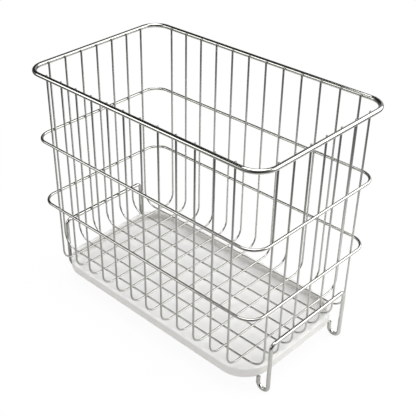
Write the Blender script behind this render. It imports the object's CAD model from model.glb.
# %% [markdown]
# # A tall wire basket with a drip tray
# The object is a slim kitchen basket of bent and welded stainless wire. It stands on two hooked leg
# frames, and a white moulded tray lies on the hooks to catch the drips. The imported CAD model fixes
# every size and place. This lesson dresses it: each wire is swept again with a finer section and
# rounded ends, each weld gets its small bead, and steel and plastic get materials of their own.

# %% Load the frame
import math

import bpy
from mathutils import Matrix, Vector


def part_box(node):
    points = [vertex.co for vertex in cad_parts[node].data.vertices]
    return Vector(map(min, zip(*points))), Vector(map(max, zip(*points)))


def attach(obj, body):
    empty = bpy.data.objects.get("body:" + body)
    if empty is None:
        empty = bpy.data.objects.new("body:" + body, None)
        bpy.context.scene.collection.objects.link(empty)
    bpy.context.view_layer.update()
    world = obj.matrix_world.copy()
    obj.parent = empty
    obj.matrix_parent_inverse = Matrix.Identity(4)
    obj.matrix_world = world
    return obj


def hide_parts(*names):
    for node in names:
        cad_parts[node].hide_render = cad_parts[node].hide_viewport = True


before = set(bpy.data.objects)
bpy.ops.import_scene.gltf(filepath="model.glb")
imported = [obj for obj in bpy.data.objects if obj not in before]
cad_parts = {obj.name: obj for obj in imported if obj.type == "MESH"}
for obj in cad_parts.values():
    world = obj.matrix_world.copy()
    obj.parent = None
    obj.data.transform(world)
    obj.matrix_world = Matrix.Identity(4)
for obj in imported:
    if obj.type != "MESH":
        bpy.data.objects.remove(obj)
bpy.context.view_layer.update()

print("nodes in the frame:", len(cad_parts))

# %% [markdown]
# ## The camera
# The photograph looks down into the basket past its near right corner. Where the rim, the two rings
# and the wire tops fall in the picture gives the camera: how far it is turned, tipped and rolled,
# where it stands, and its focal length in pixels. The best fit has the lens axis off the picture's
# middle, as in a cropped picture, and the camera's shift takes that up. With the axis in the middle
# the wires fit about 0.3 px worse. The shift has a price: in other views the basket stands left of
# the picture's middle.

# %% Camera
PICTURE_PX = 416
FOCAL_PX = 821.6
LENS_AXIS_PX = (151.1, 233.2)
SENSOR_MM = 36
CLIP_START = 0.01

camera_turn = math.radians(47.10)
camera_tip = math.radians(34.45)
camera_roll = math.radians(-1.50)
camera_place = (0.58774, -0.62490, 0.69381)


def make_camera():
    data = bpy.data.cameras.new("camera")
    data.sensor_width = SENSOR_MM
    data.lens = SENSOR_MM * FOCAL_PX / PICTURE_PX
    data.shift_x = 0.5 - LENS_AXIS_PX[0] / PICTURE_PX
    data.shift_y = LENS_AXIS_PX[1] / PICTURE_PX - 0.5
    data.clip_start = CLIP_START
    camera = bpy.data.objects.new("camera", data)
    turn = Matrix.Rotation(camera_turn, 4, "Z")
    tip = Matrix.Rotation(math.pi / 2 - camera_tip, 4, "X")
    roll = Matrix.Rotation(camera_roll, 4, "Z")
    camera.matrix_world = Matrix.Translation(camera_place) @ turn @ tip @ roll
    bpy.context.scene.collection.objects.link(camera)
    bpy.context.scene.camera = camera
    return camera


camera = make_camera()
bpy.context.scene.view_settings.view_transform = "Standard"
print("lens", round(camera.data.lens, 2), "mm")

# %% [markdown]
# ## Writing nodes as text
# Geometry Nodes and materials are both node trees. `Sheet.add` makes one node: its settings first,
# then the value or the link of each socket. `Line` stands for what comes out of a node, and sums and
# products of lines add the Math nodes, so shader maths reads as plain expressions. A line can also be
# ramped, which turns its way from one value to another into any other range.

# %% Node helpers
class Line:
    """What comes out of a node. An expression on lines adds Math nodes to their sheet."""

    def __init__(self, sheet, socket):
        self.sheet = sheet
        self.socket = socket

    def math(self, operation, *values):
        return self.sheet.add("ShaderNodeMath", {"operation": operation}, dict(enumerate(values)))

    def __add__(self, other):
        return self.math("ADD", self, other)

    def __radd__(self, other):
        return self.math("ADD", other, self)

    def __sub__(self, other):
        return self.math("SUBTRACT", self, other)

    def __rsub__(self, other):
        return self.math("SUBTRACT", other, self)

    def __mul__(self, other):
        return self.math("MULTIPLY", self, other)

    def __rmul__(self, other):
        return self.math("MULTIPLY", other, self)

    def __truediv__(self, other):
        return self.math("DIVIDE", self, other)

    def ramp(self, start, end, low, high, smooth=False):
        """low where the line is at start, high where it is at end, and held there beyond them."""
        kind = "SMOOTHSTEP" if smooth else "LINEAR"
        return self.sheet.add("ShaderNodeMapRange", {"interpolation_type": kind},
                              {0: self, 1: start, 2: end, 3: low, 4: high})

    def near(self, place, reach):
        """1 where the line equals place, falling smoothly to 0 at the given reach either side."""
        return abs_of(self - place).ramp(reach, 0.0, 0.0, 1.0, smooth=True)


def abs_of(line):
    return line.math("ABSOLUTE", line)


def most(a, b):
    return a.math("MAXIMUM", a, b)


class Sheet:
    """A node tree that is written node by node."""

    def __init__(self, tree):
        self.tree = tree

    def add(self, kind, settings=None, inputs=None, output=0):
        node = self.tree.nodes.new(kind)
        for name, value in (settings or {}).items():
            setattr(node, name, value)
        for name, value in (inputs or {}).items():
            if isinstance(value, Line):
                self.tree.links.new(value.socket, node.inputs[name])
            else:
                node.inputs[name].default_value = value
        return Line(self, node.outputs[output]) if node.outputs else None


print("node helpers:", Line.__name__, "and", Sheet.__name__)

# %% [markdown]
# ## The wires: how they are made
# Every wire of the basket is straight runs joined by round bends, which is how a bending machine
# makes it. So a wire is kept as the corners of its path, each with the radius of its bend. A node
# tree rounds the corners, sweeps a circle along the path and closes the ends. It also stores, on each
# point, how far along and where round the wire it lies, because the drawing lines of the steel run
# that way. One tree does for the rim, the rings, the mesh and the legs: only its inputs change.

# %% The tree that bends and sweeps a wire
def inlet(tree, name, kind):
    return tree.interface.new_socket(name, in_out="INPUT", socket_type=kind)


def captured(sheet, geometry, field):
    """Keeps a field's value on the points of a curve before it is swept."""
    node = sheet.tree.nodes.new("GeometryNodeCaptureAttribute")
    node.capture_items.new("FLOAT", "kept")
    sheet.tree.links.new(geometry.socket, node.inputs[0])
    sheet.tree.links.new(field.socket, node.inputs[1])
    return Line(sheet, node.outputs[0]), Line(sheet, node.outputs[1])


def bent_wire_tree():
    tree = bpy.data.node_groups.new("bent wire", "GeometryNodeTree")
    inlet(tree, "Path", "NodeSocketGeometry")
    inlet(tree, "Wire Diameter", "NodeSocketFloat")
    inlet(tree, "Sides", "NodeSocketInt")
    inlet(tree, "Bend Steps", "NodeSocketInt")
    inlet(tree, "Material", "NodeSocketMaterial")
    tree.interface.new_socket("Wire", in_out="OUTPUT", socket_type="NodeSocketGeometry")
    sheet = Sheet(tree)
    given = tree.nodes.new("NodeGroupInput")
    path, diameter, sides, steps, material = (Line(sheet, s) for s in given.outputs[:5])

    bend = sheet.add("GeometryNodeInputNamedAttribute", {"data_type": "FLOAT"},
                     {"Name": "bend_radius"})
    curve = sheet.add("GeometryNodeMeshToCurve", inputs={"Mesh": path})
    curve = sheet.add("GeometryNodeFilletCurve", {"mode": "POLY"},
                      {"Curve": curve, "Count": steps, "Radius": bend})
    section = sheet.add("GeometryNodeCurvePrimitiveCircle", {"mode": "RADIUS"},
                        {"Resolution": sides, "Radius": diameter / 2})

    along = sheet.add("GeometryNodeSplineParameter", output="Length")
    curve, along = captured(sheet, curve, along)
    share = sheet.add("GeometryNodeSplineParameter", output="Factor")
    section, share = captured(sheet, section, share)
    swept = sheet.add("GeometryNodeCurveToMesh", inputs={"Curve": curve, "Profile Curve": section,
                                                         "Fill Caps": True})
    turn = share * math.tau
    round_and_along = sheet.add("ShaderNodeCombineXYZ", inputs={
        "X": turn.math("COSINE", turn), "Y": turn.math("SINE", turn), "Z": along})
    swept = sheet.add("GeometryNodeStoreNamedAttribute",
                      {"data_type": "FLOAT_VECTOR", "domain": "POINT"},
                      {"Geometry": swept, "Name": "round_and_along", "Value": round_and_along})
    swept = sheet.add("GeometryNodeSetShadeSmooth", inputs={"Geometry": swept})
    swept = sheet.add("GeometryNodeRealizeInstances", inputs={"Geometry": swept})
    swept = sheet.add("GeometryNodeSetMaterial", inputs={"Geometry": swept, "Material": material})
    sheet.add("NodeGroupOutput", inputs={"Wire": swept})
    return tree


wire_tree = bent_wire_tree()
print("bent wire tree:", len(wire_tree.nodes), "nodes")

# %% A path becomes a wire
END_ROUND = 0.0004
END_STEPS = 3
END_ANGLE = math.radians(60)


def set_input(modifier, name, value):
    socket = modifier.node_group.interface.items_tree[name]
    modifier[socket.identifier] = value


def path_mesh(name, corners, radii, closed):
    """The corners of a wire's path as a chain of edges, with the bend radius on each corner."""
    links = [(n, n + 1) for n in range(len(corners) - 1)]
    if closed:
        links.append((len(corners) - 1, 0))
    mesh = bpy.data.meshes.new(name)
    mesh.from_pydata(corners, links, [])
    mesh.attributes.new("bend_radius", "FLOAT", "POINT").data.foreach_set("value", radii)
    return mesh


def plain(piece):
    """Turns the evaluated piece into a plain mesh without modifiers."""
    graph = bpy.context.evaluated_depsgraph_get()
    mesh = bpy.data.meshes.new_from_object(piece.evaluated_get(graph), depsgraph=graph)
    piece.modifiers.clear()
    piece.data = mesh
    return piece


def make_wire(node, corners, radii, diameter, material, sides, steps, closed=False):
    piece = bpy.data.objects.new("bent_" + node, path_mesh(node + "_path", corners, radii, closed))
    bpy.context.scene.collection.objects.link(piece)
    sweep = piece.modifiers.new("sweep", "NODES")
    sweep.node_group = wire_tree
    set_input(sweep, "Wire Diameter", diameter)
    set_input(sweep, "Sides", sides)
    set_input(sweep, "Bend Steps", steps)
    set_input(sweep, "Material", material)
    if not closed:
        ends = piece.modifiers.new("round ends", "BEVEL")
        ends.width = END_ROUND
        ends.segments = END_STEPS
        ends.limit_method = "ANGLE"
        ends.angle_limit = END_ANGLE
    return plain(piece)


print("wire ends are rounded by", 1000 * END_ROUND, "mm")

# %% [markdown]
# ## Steel
# The basket is polished stainless steel. Steel reflects a little more than half of the light, with
# hardly any colour of its own, so nearly all that is seen on a wire is its surroundings, squeezed
# into narrow stripes. The finish shows in how sharp these stripes are. Drawn wire keeps faint lines
# along its length, each weld leaves a slightly duller spot, and handling leaves soft hazy patches.
# The weld spots lie at the crossings, so their mask is worked out from the places of the wires.

# %% Places of the wires, read from the frame
CROSS_WIRES = [f"cross_wire_{n:02d}" for n in range(1, 13)]
LONG_WIRES = [f"long_wire_{n}" for n in range(1, 8)]
RINGS = ["middle_ring", "lower_ring"]
LEG_FRAMES = ["left_leg_frame", "right_leg_frame"]


def middle(node):
    low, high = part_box(node)
    return (low + high) / 2


cross_pitch = middle(CROSS_WIRES[1]).x - middle(CROSS_WIRES[0]).x
long_pitch = middle(LONG_WIRES[1]).y - middle(LONG_WIRES[0]).y
ring_heights = [middle(node).z for node in ["rim"] + RINGS]
mesh_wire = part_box("cross_wire_01")[1].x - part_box("cross_wire_01")[0].x
# A leg frame is bent in two planes, so its box doesn't show how thick its wire is.
leg_wire = 0.0048
print("mesh and leg wire:", round(1000 * mesh_wire, 2), round(1000 * leg_wire, 2), "mm")
print("pitches:", round(1000 * cross_pitch, 2), round(1000 * long_pitch, 2), "mm")

# %% Helpers for materials
def new_material(name):
    material = bpy.data.materials.new(name)
    material.use_nodes = True
    material.node_tree.nodes.clear()
    return material, Sheet(material.node_tree)


def mixed(sheet, share, first, second):
    """One colour turning into another as the share goes from 0 to 1."""
    return sheet.add("ShaderNodeMix", {"data_type": "RGBA"},
                     {0: share, 6: first, 7: second}, output=2)


# A warm grey lacks some of its blue, and this share of that of its green.
GREEN_SHARE = 0.1


def grey(level, warmth=0.0):
    return (level, level * (1 - GREEN_SHARE * warmth), level * (1 - warmth), 1)


BLACK = grey(0.0)
WHITE = grey(1.0)


def noise(sheet, vector, fineness, detail, roughness):
    return sheet.add("ShaderNodeTexNoise", inputs={
        "Vector": vector, "Scale": fineness, "Detail": detail, "Roughness": roughness})


def x_y_z(sheet, vector):
    return (sheet.add("ShaderNodeSeparateXYZ", inputs={0: vector}, output=axis) for axis in "XYZ")


def dot(sheet, vector, way):
    """How far the vector reaches in the given direction."""
    return sheet.add("ShaderNodeVectorMath", {"operation": "DOT_PRODUCT"},
                     {0: vector, 1: way}, output="Value")


print("black and white:", BLACK, WHITE)

# %% Weld spots on the steel
WELD_REACH = 0.0032
# The crossings of the floor lie below this height, under which their spots fade in.
FLOOR_TOP = 0.048
FLOOR_FADE = 0.003
# Whole pitches added before the distance is taken, so that no place is negative.
PITCHES_AWAY = 100


def spaced(line, pitch, offset):
    """Distance from the nearest of evenly spaced places."""
    return line.math("PINGPONG", line + (offset + PITCHES_AWAY * pitch), pitch / 2)


def weld_spots(x, y, z):
    """1 on the crossings of the floor and where the uprights meet the rim and the rings."""
    on_floor = z.ramp(FLOOR_TOP, FLOOR_TOP - FLOOR_FADE, 0.0, 1.0)
    floor_gap = most(spaced(x, cross_pitch, cross_pitch / 2), spaced(y, long_pitch, 0.0))
    spots = floor_gap.near(0.0, WELD_REACH) * on_floor
    for height in ring_heights:
        spots = most(spots, z.near(height, WELD_REACH))
    return spots


print("weld spots reach", round(1000 * WELD_REACH, 1), "mm")

# %% Steel materials
# How finely the drawing lines vary: by the cosine and the sine of the way round, and along the wire.
DRAWN_LINES = (9.0, 9.0, 60.0)
HAZE_FINENESS = 38.0
PIT_FINENESS = 900.0
# A tint is a share of the steel's own level, and its warmth.
HAZE_TINTS = [(0.94, 0.055), (1.05, 0.045)]
WELD_TINT = (0.72, 0.09)
WELD_TINT_SHARE = 0.5
# The least share of the roughness, and what haze, lines and welds add to it.
CLEAR_SHEEN = 0.75
HAZE_SHEEN = 0.5
LINE_SHEEN = 0.03
WELD_SHEEN = 0.12
LINES_IN_BUMP = 0.7
PITS_IN_BUMP = 0.3
BUMP_HEIGHT = 0.00004


def steel(name, level, roughness, line_depth, weld_share=1.0):
    material, sheet = new_material(name)
    place = sheet.add("ShaderNodeTexCoord", output="Object")
    welds = weld_spots(*x_y_z(sheet, place)) * weld_share

    lengthwise = sheet.add("ShaderNodeAttribute", {"attribute_name": "round_and_along"},
                           output="Vector")
    drawn = sheet.add("ShaderNodeVectorMath", {"operation": "MULTIPLY"},
                      {0: lengthwise, 1: DRAWN_LINES})
    lines = noise(sheet, drawn, 1.0, detail=3.0, roughness=0.6)
    haze = noise(sheet, place, HAZE_FINENESS, detail=3.0, roughness=0.55)
    pits = noise(sheet, place, PIT_FINENESS, detail=2.0, roughness=0.5)

    hazy, clear, dull = (grey(level * share, warmth) for share, warmth in HAZE_TINTS + [WELD_TINT])
    colour = mixed(sheet, welds * WELD_TINT_SHARE, mixed(sheet, haze, hazy, clear), dull)
    sheen = roughness * (CLEAR_SHEEN + haze * HAZE_SHEEN) + lines * LINE_SHEEN + welds * WELD_SHEEN
    height = lines * LINES_IN_BUMP + pits * PITS_IN_BUMP
    bump = sheet.add("ShaderNodeBump", inputs={"Strength": line_depth, "Distance": BUMP_HEIGHT,
                                               "Height": height})
    shader = sheet.add("ShaderNodeBsdfPrincipled", inputs={
        "Base Color": colour, "Metallic": 1.0, "Roughness": sheen, "Normal": bump})
    sheet.add("ShaderNodeOutputMaterial", inputs={"Surface": shader})
    return material


rim_steel = steel("polished rim wire", level=0.70, roughness=0.09, line_depth=0.25)
ring_steel = steel("polished ring wire", level=0.68, roughness=0.10, line_depth=0.25)
mesh_steel = steel("electropolished mesh wire", level=0.57, roughness=0.08, line_depth=0.18)
leg_steel = steel("polished leg wire", level=0.62, roughness=0.10, line_depth=0.25, weld_share=0.0)
print("steels:", [m.name for m in (rim_steel, ring_steel, mesh_steel, leg_steel)])

# %% [markdown]
# ## Rim and rings
# The rim is the thickest wire: a closed rectangle with round corners, butt welded and polished. Two
# thinner rings hold the uprights lower down. Their paths are four corners each.

# %% Rim and rings
# The corners' outer radii are those of the CAD model.
RIM_CORNER = 0.026
RING_CORNER = 0.0225


def closed_ring(node, corner, material, sides, steps):
    """A closed wire whose corners have the given radius, measured on their outside."""
    low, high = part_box(node)
    wire = high.z - low.z
    x, y, z = high.x - wire / 2, high.y - wire / 2, (low.z + high.z) / 2
    corners = [(x, y, z), (-x, y, z), (-x, -y, z), (x, -y, z)]
    radii = [corner - wire / 2] * 4
    return make_wire(node, corners, radii, wire, material, sides, steps, closed=True)


rim = closed_ring("rim", RIM_CORNER, rim_steel, sides=40, steps=28)
rings = {node: closed_ring(node, RING_CORNER, ring_steel, sides=32, steps=24) for node in RINGS}
print("rim faces:", len(rim.data.polygons))

# %% [markdown]
# ## The mesh
# The basket's body is nineteen U shaped wires. Twelve cross it: down the near side, over the floor
# and up the far side. Seven run its length and pass below them. Each is four corners with two bends.

# %% U wires
# The bends' radii, at the middle of the wire, are those of the CAD model.
CROSS_BEND = 0.016
LONG_BEND = 0.0205


def u_wire(node, bend):
    low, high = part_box(node)
    half = mesh_wire / 2
    centre = (low + high) / 2
    if node in CROSS_WIRES:
        ends = [Vector((centre.x, side, 0)) for side in (low.y + half, high.y - half)]
    else:
        ends = [Vector((side, centre.y, 0)) for side in (low.x + half, high.x - half)]
    up, down = Vector((0, 0, high.z)), Vector((0, 0, low.z + half))
    corners = [ends[0] + up, ends[0] + down, ends[1] + down, ends[1] + up]
    return make_wire(node, corners, [0, bend, bend, 0], mesh_wire, mesh_steel, sides=24, steps=16)


mesh_wires = {node: u_wire(node, CROSS_BEND) for node in CROSS_WIRES}
mesh_wires.update({node: u_wire(node, LONG_BEND) for node in LONG_WIRES})
print("faces of one U wire:", len(mesh_wires["cross_wire_01"].data.polygons))

# %% [markdown]
# ## The leg frames
# Each end of the basket stands on one wire that is bent in two planes. Its middle is the bar that is
# welded to the uprights, its ends turn down into the legs, and each foot is a hook whose free end
# rises to 0.3 mm below the tray. The hook's two bends almost meet, so their radius is a hair less than
# half of its width, or the two bends would share a point.

# %% Leg frames
HOOK_BEND = 0.00729
HOOK_WIDTH = 0.0146
HOOK_GAP = 0.0003
LEG_BEND = 0.007


def leg_frame(node):
    low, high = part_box(node)
    half = leg_wire / 2
    side = 1 if high.x > 0 else -1
    leg_x = side * (max(abs(low.x), abs(high.x)) - half)
    tip_x = leg_x - side * HOOK_WIDTH
    y, foot, bar = high.y - half, low.z + half, high.z - half
    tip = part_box("drip_tray")[0].z - HOOK_GAP
    one_side = [(tip_x, y, tip), (tip_x, y, foot), (leg_x, y, foot), (leg_x, y, bar)]
    corners = one_side + [(px, -py, pz) for px, py, pz in reversed(one_side)]
    radii = [0, HOOK_BEND, HOOK_BEND, LEG_BEND]
    return make_wire(node, corners, radii + radii[::-1], leg_wire, leg_steel, sides=32, steps=18)


legs = {node: leg_frame(node) for node in LEG_FRAMES}
print("leg frame faces:", len(legs["left_leg_frame"].data.polygons))

# %% [markdown]
# ## Welds
# Where two wires cross, a resistance weld melts them together over a spot as wide as the thinner
# wire, and a little metal is squeezed out round it. Each bead is a small flattened ball, placed by a
# node tree on a cloud of points: the tree turns it to face across the joint and gives it its size.

# %% The tree that sets the weld beads
BALL_SEGMENTS = 10
BALL_RINGS = 6
BEAD_UNEVEN = 0.12
BEAD_SEED = 7


def weld_tree():
    tree = bpy.data.node_groups.new("weld beads", "GeometryNodeTree")
    inlet(tree, "Spots", "NodeSocketGeometry")
    inlet(tree, "Bead Width", "NodeSocketFloat")
    inlet(tree, "Bead Thickness", "NodeSocketFloat")
    inlet(tree, "Uneven", "NodeSocketFloat").default_value = BEAD_UNEVEN
    inlet(tree, "Seed", "NodeSocketInt").default_value = BEAD_SEED
    inlet(tree, "Material", "NodeSocketMaterial")
    tree.interface.new_socket("Beads", in_out="OUTPUT", socket_type="NodeSocketGeometry")
    sheet = Sheet(tree)
    given = tree.nodes.new("NodeGroupInput")
    spots, width, thickness, uneven, seed, material = (Line(sheet, s) for s in given.outputs[:6])

    # The ball is one unit across, so the scale that it gets is a bead's size.
    ball = sheet.add("GeometryNodeMeshUVSphere", inputs={
        "Segments": BALL_SEGMENTS, "Rings": BALL_RINGS, "Radius": 0.5})
    facing = sheet.add("GeometryNodeInputNamedAttribute", {"data_type": "FLOAT_VECTOR"},
                       {"Name": "facing"})
    turn = sheet.add("FunctionNodeAlignRotationToVector", {"axis": "Z"}, {"Vector": facing})
    luck = sheet.add("FunctionNodeRandomValue", {"data_type": "FLOAT"},
                     {2: 1 - uneven, 3: 1 + uneven, "Seed": seed}, output=1)
    size = sheet.add("ShaderNodeCombineXYZ", inputs={"X": width * luck, "Y": width * luck,
                                                     "Z": thickness * luck})
    beads = sheet.add("GeometryNodeInstanceOnPoints", inputs={
        "Points": spots, "Instance": ball, "Rotation": turn, "Scale": size})
    beads = sheet.add("GeometryNodeSetShadeSmooth", inputs={"Geometry": beads})
    beads = sheet.add("GeometryNodeRealizeInstances", inputs={"Geometry": beads})
    beads = sheet.add("GeometryNodeSetMaterial", inputs={"Geometry": beads, "Material": material})
    sheet.add("NodeGroupOutput", inputs={"Beads": beads})
    return tree


bead_tree = weld_tree()
print("weld bead tree:", len(bead_tree.nodes), "nodes")

# %% Where the welds are
# Two welded wires sink 0.2 mm into each other, so their joint lies this far inside each.
JOINT_DEPTH = 0.0001
# How wide and how thick a bead is.
FLOOR_BEAD = (0.0025, 0.0011)
WALL_BEAD = (0.0027, 0.0012)


def floor_spots():
    """The crossings of the floor: the long wires lie under the crossing ones."""
    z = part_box("cross_wire_01")[0].z + JOINT_DEPTH
    return [((middle(cross).x, middle(long).y, z), (0, 0, 1))
            for cross in CROSS_WIRES for long in LONG_WIRES]


def upright_spots(wire, outward):
    """Both uprights of one U wire, against the rim and the two rings outside them."""
    low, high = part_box(wire)
    centre = (low + high) / 2
    spots = []
    for side in (-1, 1):
        face = centre + outward * side * (abs((high - low).dot(outward)) / 2 - JOINT_DEPTH)
        spots += [((face.x, face.y, z), outward * side) for z in ring_heights]
    return spots


def bar_spots():
    """The uprights of the five middle long wires, against the bars of the leg frames."""
    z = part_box("left_leg_frame")[1].z - leg_wire / 2
    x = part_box(LONG_WIRES[0])[1].x - JOINT_DEPTH
    return [((side * x, middle(wire).y, z), (side, 0, 0))
            for wire in LONG_WIRES[1:-1] for side in (-1, 1)]


def make_beads(name, spots, width, thickness, material):
    """One bead on each spot, which is a place and the direction across the joint."""
    mesh = bpy.data.meshes.new(name)
    mesh.from_pydata([place for place, across in spots], [], [])
    facing = mesh.attributes.new("facing", "FLOAT_VECTOR", "POINT")
    facing.data.foreach_set("vector", [v for place, across in spots for v in across])
    piece = bpy.data.objects.new(name, mesh)
    bpy.context.scene.collection.objects.link(piece)
    setter = piece.modifiers.new("beads", "NODES")
    setter.node_group = bead_tree
    set_input(setter, "Bead Width", width)
    set_input(setter, "Bead Thickness", thickness)
    set_input(setter, "Material", material)
    return plain(piece)


weld_steel = steel("weld bead", level=0.55, roughness=0.2, line_depth=0.5)
side_spots = [spot for wire in CROSS_WIRES for spot in upright_spots(wire, Vector((0, 1, 0)))]
end_spots = [spot for wire in LONG_WIRES for spot in upright_spots(wire, Vector((1, 0, 0)))]
wall_spots = side_spots + end_spots + bar_spots()
floor_welds = make_beads("floor_welds", floor_spots(), *FLOOR_BEAD, weld_steel)
wall_welds = make_beads("wall_welds", wall_spots, *WALL_BEAD, weld_steel)
print("welds:", len(floor_spots()), "in the floor,", len(wall_spots), "on the walls")

# %% [markdown]
# ## The drip tray
# The tray is injection moulded from white polypropylene. Its shape is right in the CAD model, so it
# stays. The material is a satin white: a very fine spark eroded grain, a slightly uneven sheen and a
# trace of shade where the flow of the plastic changed. Its upright walls look a little warmer than
# what lies flat, as in the photograph.

# %% Tray plastic
FLOW_FINENESS = 14.0
GRAIN_FINENESS = 2600.0
FLAT_TINTS = [(0.865, 0.862, 0.854, 1), (0.90, 0.898, 0.891, 1)]
WALL_TINT = (0.86, 0.846, 0.82, 1)
# The plastic's own roughness, and what flow and grain add to it.
PLASTIC_SHEEN = 0.30
FLOW_SHEEN = 0.12
GRAIN_SHEEN = 0.05
GRAIN_STRENGTH = 0.25
PLASTIC_IOR = 1.49


def tray_plastic():
    material, sheet = new_material("white tray plastic")
    place = sheet.add("ShaderNodeTexCoord", output="Object")
    flow = noise(sheet, place, FLOW_FINENESS, detail=3.0, roughness=0.5)
    grain = noise(sheet, place, GRAIN_FINENESS, detail=2.0, roughness=0.6)
    facing = sheet.add("ShaderNodeTexCoord", output="Normal")
    level = abs_of(dot(sheet, facing, (0, 0, 1)))
    colour = mixed(sheet, level, WALL_TINT, mixed(sheet, flow, *FLAT_TINTS))
    sheen = PLASTIC_SHEEN + flow * FLOW_SHEEN + grain * GRAIN_SHEEN
    bump = sheet.add("ShaderNodeBump", inputs={"Strength": GRAIN_STRENGTH, "Distance": BUMP_HEIGHT,
                                               "Height": grain})
    shader = sheet.add("ShaderNodeBsdfPrincipled", inputs={
        "Base Color": colour, "Roughness": sheen, "Normal": bump, "IOR": PLASTIC_IOR})
    sheet.add("ShaderNodeOutputMaterial", inputs={"Surface": shader})
    return material


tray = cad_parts["drip_tray"]
tray.data.materials.clear()
tray.data.materials.append(tray_plastic())
print("tray faces:", len(tray.data.polygons))

# %% [markdown]
# ## Floor, backdrop and light
# The photograph is a cut-out on plain white. The floor is a wide white sheet: the camera sees it lit
# from within, mixed near the basket with a share of its real shading, so that the soft shadow stays.
# In the steel the sheet has its real shading, and its colour is darkened on purpose away from the
# basket and on the side that the main light doesn't reach. That darkens the tops of the upright
# wires and the left legs. Steel that sees the camera's plain white comes out pale and flat.

# %% Floor
FLOOR_SIZE = 12.0
PAPER_WHITE = 0.94
# The share of real shading that the camera sees, and the distances over which it fades.
SHADOW_SHARE = 0.06
SHADOW_NEAR = 0.25
SHADOW_FAR = 0.7
# Where the sheet starts and ends getting darker in the steel, and how much of it is left there.
SHEET_NEAR = 0.30
SHEET_FAR = 0.68
SHEET_EDGE_SHADE = 0.19
# The way towards the main light, and the sheet's brightness in the steel on either side of it.
LIT_SIDE = (0.707, 0.707, 0.0)
LIT_FROM = -0.10
LIT_TO = 0.20
SHADE_IN_STEEL = 0.46
LIT_IN_STEEL = 0.88


def light_path(sheet, ray):
    return sheet.add("ShaderNodeLightPath", output=ray)


def floor_material():
    material, sheet = new_material("white floor")
    place = sheet.add("ShaderNodeTexCoord", output="Object")
    distance = sheet.add("ShaderNodeVectorMath", {"operation": "LENGTH"}, {0: place}, output="Value")
    edge = distance.ramp(SHEET_NEAR, SHEET_FAR, 1.0, SHEET_EDGE_SHADE, smooth=True)
    side = dot(sheet, place, LIT_SIDE).ramp(LIT_FROM, LIT_TO, SHADE_IN_STEEL, LIT_IN_STEEL)
    shadow = distance.ramp(SHADOW_NEAR, SHADOW_FAR, SHADOW_SHARE, 0.0, smooth=True)
    in_steel = light_path(sheet, "Is Glossy Ray")
    in_picture = most(light_path(sheet, "Is Camera Ray"), light_path(sheet, "Is Transmission Ray"))
    white = PAPER_WHITE * (1 - in_steel * (1 - edge * side))
    paper = sheet.add("ShaderNodeBsdfDiffuse", inputs={"Color": mixed(sheet, white, BLACK, WHITE)})
    glow = sheet.add("ShaderNodeEmission", inputs={"Color": WHITE, "Strength": 1.0})
    surface = sheet.add("ShaderNodeMixShader", inputs={
        0: in_picture * (1 - shadow), 1: paper, 2: glow})
    sheet.add("ShaderNodeOutputMaterial", inputs={"Surface": surface})
    return material


def make_floor():
    half = FLOOR_SIZE / 2
    corners = [(-half, -half, 0), (half, -half, 0), (half, half, 0), (-half, half, 0)]
    mesh = bpy.data.meshes.new("floor")
    mesh.from_pydata(corners, [], [(0, 1, 2, 3)])
    floor = bpy.data.objects.new("floor", mesh)
    mesh.materials.append(floor_material())
    bpy.context.scene.collection.objects.link(floor)


make_floor()
print("floor", FLOOR_SIZE, "m wide")

# %% [markdown]
# The light is three soft boxes and a dim room. A wire shows a narrow slice of the room along its
# length, so each box has its own wires: the low one on the left gives the wires along the basket
# their bright line, the one behind on the right does it for the wires across, and the one overhead
# hardly shows in straight wires and lights the tray. The steel also sees two dark parts of the room,
# high on the left and behind the camera, and they draw the black lines beside the bright ones.

# %% Soft boxes and room
ROOM_LEVEL = 0.32
ROOM_IN_STEEL = 0.40
ROOM_DARK = 0.02
# All angles are in degrees. A dark part is at its darkest up to `full` from its middle, and it has
# gone at `end`.
DARK_PARTS = [
    dict(azimuth=172, elevation=48, full=36, end=54),
    dict(azimuth=316, elevation=6, full=30, end=56),
]
SOFT_BOXES = {
    "left soft box": dict(azimuth=230, elevation=22, distance=1.0, width=0.5, height=0.46, level=2.3),
    "right soft box": dict(azimuth=50, elevation=29, distance=1.4, width=1.7, height=1.0, level=2.9),
    "overhead soft box": dict(azimuth=0, elevation=90, distance=1.5, width=1.2, height=1.2, level=3.5),
}
BASKET_MIDDLE = Vector((0, 0, 0.15))


def heading(azimuth, elevation):
    a, e = math.radians(azimuth), math.radians(elevation)
    return Vector((math.cos(a) * math.cos(e), math.sin(a) * math.cos(e), math.sin(e)))


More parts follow.
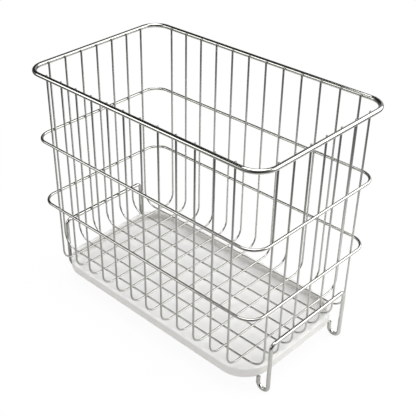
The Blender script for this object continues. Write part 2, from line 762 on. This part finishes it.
def soft_box(name, azimuth, elevation, distance, width, height, level):
    away = heading(azimuth, elevation)
    data = bpy.data.lights.new(name, "AREA")
    data.shape = "RECTANGLE"
    data.size, data.size_y = width, height
    data.energy = level * math.pi * width * height
    lamp = bpy.data.objects.new(name, data)
    lamp.location = away * distance + BASKET_MIDDLE
    lamp.rotation_euler = away.to_track_quat("Z", "Y").to_euler()
    lamp.visible_camera = False
    bpy.context.scene.collection.objects.link(lamp)


def make_room():
    world = bpy.data.worlds.new("room")
    world.use_nodes = True
    world.node_tree.nodes.clear()
    bpy.context.scene.world = world
    sheet = Sheet(world.node_tree)
    way = sheet.add("ShaderNodeTexCoord", output="Generated")
    in_steel = light_path(sheet, "Is Glossy Ray")
    room = mixed(sheet, in_steel, grey(ROOM_LEVEL), grey(ROOM_IN_STEEL))
    for part in DARK_PARTS:
        facing = dot(sheet, way, heading(part["azimuth"], part["elevation"]))
        end, full = (math.cos(math.radians(part[reach])) for reach in ("end", "full"))
        dark = facing.ramp(end, full, 0.0, 1.0, smooth=True)
        room = mixed(sheet, dark * in_steel, room, grey(ROOM_DARK))
    seen = mixed(sheet, light_path(sheet, "Is Camera Ray"), room, WHITE)
    back = sheet.add("ShaderNodeBackground", inputs={"Color": seen, "Strength": 1.0})
    sheet.add("ShaderNodeOutputWorld", inputs={"Surface": back})


make_room()
for name, settings in SOFT_BOXES.items():
    soft_box(name, **settings)
print("soft boxes:", len(SOFT_BOXES))

# %% [markdown]
# ## Telling the frame what each piece is
# Every wire takes the place of its CAD node, rides on the basket and names its slot in the record.
# The tray is a CAD node, so it rides already.

# %% Ride, replace and slot
SLOTS = {
    "rim": "rim_steel",
    **dict.fromkeys(RINGS, "ring_steel"),
    **dict.fromkeys(LEG_FRAMES, "leg_steel"),
    **dict.fromkeys(CROSS_WIRES + LONG_WIRES, "mesh_steel"),
}
wires = {"rim": rim, **rings, **mesh_wires, **legs}
for node, piece in wires.items():
    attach(piece, "basket")
    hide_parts(node)
for beads in (floor_welds, wall_welds):
    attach(beads, "basket")
print("pieces on the basket:", len(wires) + 2)
